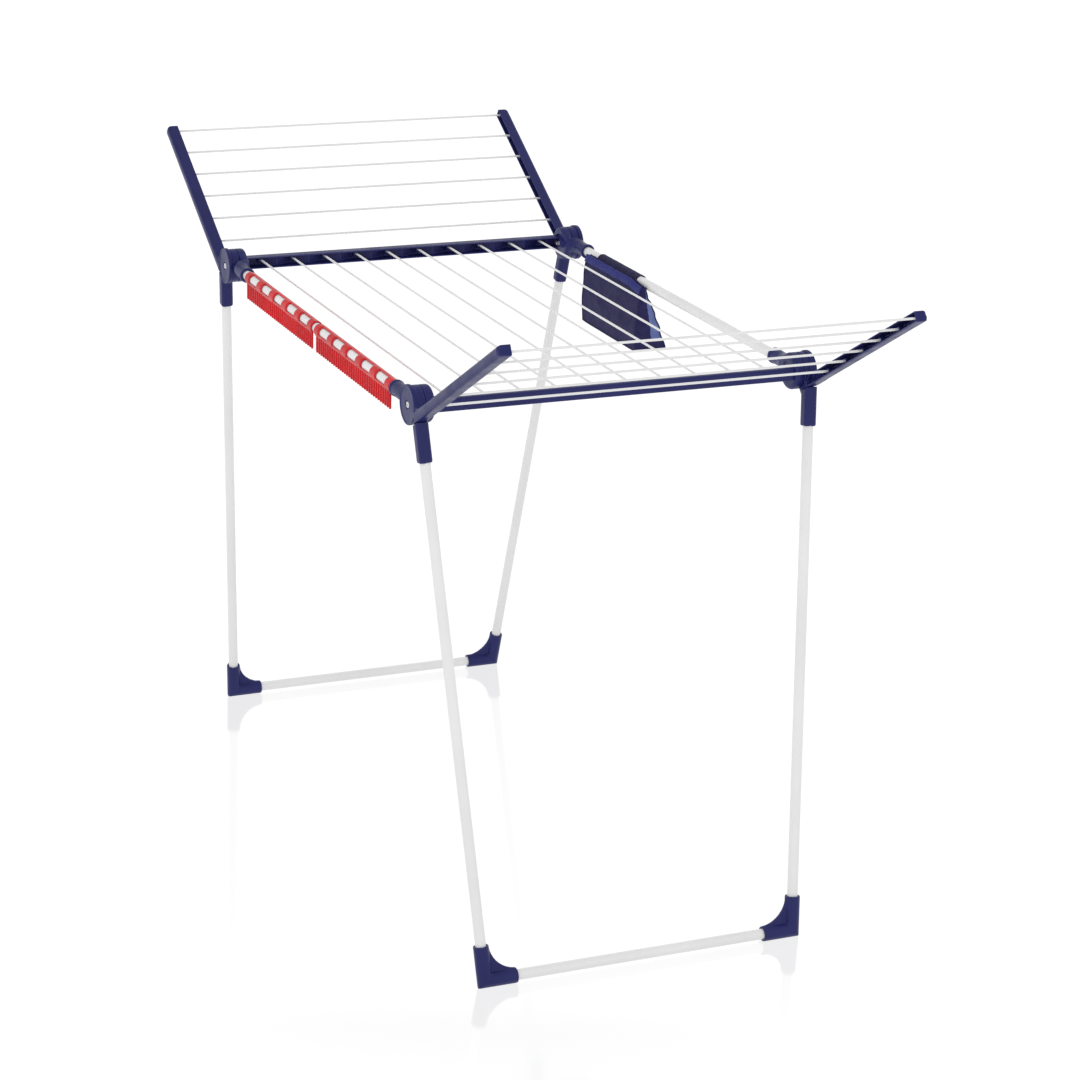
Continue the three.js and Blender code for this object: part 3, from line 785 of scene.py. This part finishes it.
def holder():
    """A half pipe with windows that snaps on the tube, and a comb plate with ribs on its face."""
    length = HOLDER["length"]
    inner, outer = HOLDER["radii"]
    pitch = length / (HOLDER["windows"] + 0.25)
    margin = (length - (HOLDER["windows"] - 1) * pitch - HOLDER["window"]) / 2
    comb_in, comb_out = COMB["x"][1], COMB["x"][0]
    z0, z1 = COMB["z"]
    tooth = length / COMB["teeth"]
    saw = []
    for i in range(COMB["teeth"]):
        saw += [(comb_out - 1.2, i * tooth), (comb_out + 1.2, (i + 0.92) * tooth)]
    comb = prism(outline_xy([(comb_in, 0), *saw, (comb_out + 1.2, length), (comb_in, length)]), Z, z0, z1)
    shell = prism(ring_sector(inner, outer, *HOLDER["arc"], 40), Y, 0, length)
    bands = [
        prism(ring_sector(outer - 0.6, outer + 0.7, *HOLDER["band_arc"], 20), Y, start, start + width)
        for start, width in [(0.5, margin - 3)] + [
            (margin + i * pitch + HOLDER["window"] + 3, pitch - HOLDER["window"] - 6)
            for i in range(HOLDER["windows"] - 1)] + [(length - margin + 3, margin - 3.5)]
    ]
    bead = bar(Vector((comb_out + 1, 0.5, z1 + 1)), Vector((comb_out + 1, length - 0.5, z1 + 1)), 1.7, 20)
    window = ring_sector(inner - 2, outer + 2, *HOLDER["window_arc"], 20)
    starts = [margin + i * pitch for i in range(HOLDER["windows"])]
    windows = [prism(window, Y, start, start + HOLDER["window"]) for start in starts]
    notches = []
    for i in range(COMB["teeth"]):
        y = (i + 1) * tooth
        notch = [Vector((0, y - 5.5, z0 - 1)), Vector((0, y - 0.5, z0 - 1)), Vector((0, y - 0.5, z0 + 4))]
        notches.append(prism(notch, X, comb_out - 3, comb_in + 3))
    return moulded("holder", [shell, comb, bead, *bands], [merged(windows), merged(notches)], 0.85, 3)


def add_holders():
    shape = holder()
    for end in ("front", "rear"):
        node = f"{end}_small_item_holder"
        start = box_mm(node)[0].y
        piece = placed_copy(shape, node + "_look", 1, 1, Vector((-SIDE_TUBE.x, start, SIDE_TUBE.z)))
        finish_piece(piece, RED, "red_plastic", f"{end}_holder", node)
    bpy.data.objects.remove(shape)


# ---------------------------------------------------------------- peg bag

bag_low, bag_high = box_mm("peg_bag")
hanger_low, hanger_high = box_mm("bag_hanger")
HANGER_RADII = (9.7, 11.4)
HANGER_ARC = (-52, 232)
HANGER_TAIL = 12
MOUTH_Z = bag_high.z
FLOOR_Z = bag_low.z
BAG_LEVELS = 48
END_STEPS = 26
SIDE_STEPS = 48
CLOTH = 1.0
GUSSET_X = (350, 326)


def eased(share):
    return share * share * (3 - 2 * share)


def along_steps(share, stops):
    """A value read off (share, value) stops, eased between them."""
    for (a, low), (b, high) in zip(stops, stops[1:]):
        if share <= b:
            return low + (high - low) * eased((share - a) / (b - a))
    return stops[-1][1]


def mouth_height(y):
    """The mouth sags a little where it runs past the hanger."""
    return MOUTH_Z - 6 * eased(min(1, max(0, (hanger_low.y + 10 - y) / 60)))


def pouch_ring(level):
    """The pouch's outline at a height share, counter-clockwise from the inner front corner."""
    x0 = along_steps(level, [(0, 314), (0.3, 312), (0.7, 315), (1, 319.5)])
    x1 = along_steps(level, [(0, 376), (0.3, 363), (0.55, 351), (0.72, 343), (0.84, 334), (1, 329)])
    y0 = along_steps(level, [(0, 106), (0.5, 103), (1, 101)])
    y1 = along_steps(level, [(0, 345), (0.5, 347), (1, 349)])
    middle_x = x0 + (x1 - x0) * 0.3
    ridge = 3 * sin(pi * min(level, 0.98) * 0.9)
    points = []
    for i in range(END_STEPS):
        x = x0 + (x1 - x0) * i / END_STEPS
        bulge = ridge * max(0, 1 - abs(x - middle_x) / (x1 - middle_x))
        points.append((x, y0 - bulge))
    points += [(x1, y0 + (y1 - y0) * i / SIDE_STEPS) for i in range(SIDE_STEPS)]
    for i in range(END_STEPS):
        share = i / END_STEPS
        points.append((x1 + (x0 - x1) * share, y1 + 3 * sin(pi * share) * (1 - level)))
    points += [(x0, y1 + (y0 - y1) * i / SIDE_STEPS) for i in range(SIDE_STEPS)]
    return [Vector((x, y, FLOOR_Z + (mouth_height(y) - FLOOR_Z) * level)) for x, y in points]


def sagged(point, level):
    """Creases and the sag of the cloth, strongest half way down and in the middle of a panel."""
    along = (point.y - bag_low.y) / (bag_high.y - bag_low.y)
    inner_face = point.x < 322 - 6 * (1 - level)
    soft = sin(pi * min(1, max(0, along))) * sin(pi * min(1, max(0.06, level)))
    fold = noise.noise(Vector((point.y * 0.018, point.z * 0.045, 3.1)))
    fine = noise.noise(Vector((point.y * 0.06, point.z * 0.09, 7.7)))
    push = (2.2 * fold + 0.9 * fine) * (0.25 + 0.75 * soft) + 2.4 * soft * (1 - level)
    return point + X * (-push if inner_face else push * 0.6)


def pouch():
    """The sewn pouch: front, back, two gussets and a rounded base, open at the mouth."""
    rings = []
    for i in range(BAG_LEVELS + 1):
        level = i / BAG_LEVELS
        rings.append([sagged(p, level) for p in pouch_ring(level)])
    base = rings[0]
    middle = sum(base, Vector()) / len(base)
    inner_rings = []
    for share, drop in ((0.02, 1.6), (0.06, 3.4), (0.13, 4.6), (0.3, 5.4), (0.6, 5.8), (0.85, 6)):
        inner_rings.append([p.lerp(middle, share) + Vector((0, 0, -drop)) for p in base])
    points, faces = loft(inner_rings[::-1] + rings, closed_ends=False)
    count = len(base)
    faces.append(tuple(range(count))[::-1])
    piece = new_object("peg_bag_pouch", (points, faces))
    for modifier, settings in (
        ("CORRECTIVE_SMOOTH", {"iterations": 2}),
        ("SOLIDIFY", {"thickness": CLOTH * MM, "offset": -1}),
    ):
        made = piece.modifiers.new("cloth", modifier)
        for setting, value in settings.items():
            setattr(made, setting, value)
    apply_modifiers(piece)
    piece.data.shade_smooth()
    return piece


def piping(name, points, radius=1.3):
    """A sewn cord that follows a seam."""
    rings = []
    for i, point in enumerate(points):
        before, after = points[max(i - 1, 0)], points[min(i + 1, len(points) - 1)]
        along = (after - before).normalized()
        across = (X if abs(along.x) < 0.8 else Y).cross(along).normalized()
        rings.append(circle(point, across, along.cross(across), radius, 12))
    piece = new_object(name, loft(rings))
    piece.data.shade_smooth()
    return piece


def hem_band():
    """The brighter band that turns out over the mouth on the inner side."""
    rings = []
    steps = 60
    for i in range(steps + 1):
        share = i / steps
        y = bag_low.y + (bag_high.y - bag_low.y) * share
        wave = 0.4 * noise.noise(Vector((y * 0.03, 0, 1.5)))
        top = mouth_height(y) + 1.6 + wave
        low = mouth_height(y) - 12 + wave
        rings.append([
            Vector((323.4 + wave, y, top - 2)), Vector((322.2 + wave, y, top - 0.4)),
            Vector((320.4 + wave, y, top)), Vector((318.6 + wave, y, top - 1)),
            Vector((317.4 + wave, y, top - 6)), Vector((315.2 + wave, y, low)),
            Vector((316.4 + wave, y, low - 0.3)), Vector((318.8 + wave, y, top - 6)),
            Vector((320.2 + wave, y, top - 2.2)), Vector((321.6 + wave, y, top - 2.4)),
        ])
    piece = new_object("peg_bag_hem", loft(rings))
    piece.data.shade_smooth()
    return piece


def hanger_sleeve():
    """The cloth sleeve round the tube, with its tail down to the back of the pouch."""
    inner, outer = HANGER_RADII
    first, last = HANGER_ARC
    rings = []
    steps = 60
    y0, y1 = hanger_low.y, hanger_high.y
    for i in range(steps + 1):
        y = y0 + (y1 - y0) * i / steps
        lump = 0.35 * noise.noise(Vector((y * 0.05, 0, 9)))
        section = arc(outer + lump, first, last, 28) + arc(inner, last, first, 28)
        rings.append([Vector((SIDE_TUBE.x + x, y, SIDE_TUBE.z + z)) for x, z in section])
    flap = ((inner, 1), (outer - 0.1, 1), (outer - 0.1, -HANGER_TAIL), (inner, -HANGER_TAIL))
    tail = [Vector((SIDE_TUBE.x + x, 0, SIDE_TUBE.z + z)) for x, z in flap]
    piece = new_object("bag_hanger_sleeve", merged([loft(rings), prism(tail, Y, y0, y1)]))
    return sharp_edges_kept(piece, 50)


def add_bag():
    sleeve = finish_piece(hanger_sleeve(), BAG_SLEEVE, "navy_fabric", "bag", "bag_hanger")
    body = finish_piece(pouch(), BAG_CLOTH, "navy_fabric", "bag", "peg_bag")
    # painted light: the front gusset faces that point -Y get the lighter copy of the cloth
    body.data.materials.append(BAG_PAINTED_LIGHT)
    for face in body.data.polygons:
        centre = face.center / MM
        height = (centre.z - FLOOR_Z) / (MOUTH_Z - FLOOR_Z)
        edge = GUSSET_X[0] + (GUSSET_X[1] - GUSSET_X[0]) * height
        if height > 0.14 and face.normal.y < -0.6 and centre.x > edge:
            face.material_index = 1
    trims = [finish_piece(hem_band(), BAG_HEM, "navy_fabric", "bag", "peg_bag")]
    levels = [i / 30 for i in range(31)]
    for name, corner in zip(
            ("inner_front", "outer_front", "outer_rear", "inner_rear"),
            (0, END_STEPS, END_STEPS + SIDE_STEPS, 2 * END_STEPS + SIDE_STEPS)):
        seam = [sagged(pouch_ring(level)[corner], level) for level in levels]
        made = piping(f"peg_bag_piping_{name}", seam)
        trims.append(finish_piece(made, BAG_CLOTH, "navy_fabric", "bag", "peg_bag"))
    ring = [sagged(p, 0) for p in pouch_ring(0)]
    made = piping("peg_bag_piping_base", ring + ring[:1])
    trims.append(finish_piece(made, BAG_CLOTH, "navy_fabric", "bag", "peg_bag"))
    for piece in (body, *trims):
        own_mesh(piece)


# ---------------------------------------------------------------- light and floor, in metres

FLOOR_HALF = 14
FLOOR = {"white": 1.08, "roughness": 0.09, "ior": 2.3, "fade": (0.9, 1.35)}
CARD = {"radius": 2.2, "height": 1.55, "glow": 1.1}
WORLD = {"light": 1.0, "in_reflections": 0.7}
KEY = {"energy": 22, "size": 2.4, "place": (-2.6, -3.2, 3.6), "target": (0, 0, 0.6)}


def floor_material():
    """A white studio floor that mirrors softly close to the rack."""
    material = bpy.data.materials.new("studio_floor")
    material.use_nodes = True
    tree = material.node_tree
    nodes, link = tree.nodes, tree.links.new
    nodes.remove(nodes["Principled BSDF"])
    white = nodes.new("ShaderNodeEmission")
    white.inputs["Strength"].default_value = FLOOR["white"]
    mirror = nodes.new("ShaderNodeBsdfGlossy")
    mirror.inputs["Roughness"].default_value = FLOOR["roughness"]
    fresnel = nodes.new("ShaderNodeFresnel")
    fresnel.inputs["IOR"].default_value = FLOOR["ior"]
    place = nodes.new("ShaderNodeTexCoord")
    length = nodes.new("ShaderNodeVectorMath")
    length.operation = "LENGTH"
    fade = nodes.new("ShaderNodeMapRange")
    for socket, value in zip(("From Min", "From Max", "To Min", "To Max"), (*FLOOR["fade"], 1.0, 0.0)):
        fade.inputs[socket].default_value = value
    share = nodes.new("ShaderNodeMath")
    share.operation = "MULTIPLY"
    mix = nodes.new("ShaderNodeMixShader")
    link(place.outputs["Object"], length.inputs[0])
    link(length.outputs["Value"], fade.inputs["Value"])
    link(fresnel.outputs["Fac"], share.inputs[0])
    link(fade.outputs["Result"], share.inputs[1])
    link(share.outputs["Value"], mix.inputs["Fac"])
    link(white.outputs["Emission"], mix.inputs[1])
    link(mirror.outputs["BSDF"], mix.inputs[2])
    link(mix.outputs["Shader"], nodes["Material Output"].inputs["Surface"])
    return material


def card_material():
    material = bpy.data.materials.new("white_card")
    material.use_nodes = True
    tree = material.node_tree
    tree.nodes.remove(tree.nodes["Principled BSDF"])
    white = tree.nodes.new("ShaderNodeEmission")
    white.inputs["Strength"].default_value = CARD["glow"]
    tree.links.new(white.outputs["Emission"], tree.nodes["Material Output"].inputs["Surface"])
    return material


def add_world():
    """White to the eye and for soft light; darker overhead in reflections, so top faces stay deep."""
    world = bpy.data.worlds.new("studio")
    world.use_nodes = True
    nodes, link = world.node_tree.nodes, world.node_tree.links.new
    soft = nodes["Background"]
    soft.inputs["Color"].default_value = (1, 1, 1, 1)
    soft.inputs["Strength"].default_value = WORLD["light"]
    dim = nodes.new("ShaderNodeBackground")
    dim.inputs["Color"].default_value = (1, 1, 1, 1)
    dim.inputs["Strength"].default_value = WORLD["in_reflections"]
    path = nodes.new("ShaderNodeLightPath")
    mix = nodes.new("ShaderNodeMixShader")
    link(path.outputs["Is Glossy Ray"], mix.inputs["Fac"])
    link(soft.outputs["Background"], mix.inputs[1])
    link(dim.outputs["Background"], mix.inputs[2])
    link(mix.outputs["Shader"], nodes["World Output"].inputs["Surface"])
    bpy.context.scene.world = world


def add_floor_and_light():
    bpy.context.scene.view_settings.view_transform = "Standard"
    half = FLOOR_HALF / MM
    floor = new_object("floor", (
        [Vector((-half, -half, -0.5)), Vector((half, -half, -0.5)),
         Vector((half, half, -0.5)), Vector((-half, half, -0.5))], [(0, 1, 2, 3)]))
    floor.data.materials.append(floor_material())
    rings = [circle(Z * z, X, Y, CARD["radius"] / MM, 64) for z in (2, CARD["height"] / MM)]
    card = new_object("reflection_card", loft(rings, closed_ends=False))
    card.data.materials.append(card_material())
    card.visible_camera = False
    card.visible_diffuse = False
    card.visible_shadow = False
    key = bpy.data.lights.new("key", "AREA")
    key.energy = KEY["energy"]
    key.size = KEY["size"]
    lamp = bpy.data.objects.new("key", key)
    lamp.location = KEY["place"]
    lamp.rotation_euler = (Vector(KEY["target"]) - lamp.location).to_track_quat("-Z", "Y").to_euler()
    bpy.context.scene.collection.objects.link(lamp)
    add_world()


# ---------------------------------------------------------------- the rack

add_tubes_and_wires()
at_corners(corner_block(), "corner_block", "frame")
at_corners(hub_bolt(), "hub_bolt", "frame", STEEL, "steel")
at_corners(hub_nut(), "hub_nut", "frame", STEEL, "steel")
at_corners(wing_arm(), "wing_arm", "{end}_wing")
at_corners(leg_socket(), "leg_socket", "{end}_legs")
at_corners(foot(), "foot", "{end}_legs")
add_rails()
add_holders()
add_bag()
add_floor_and_light()
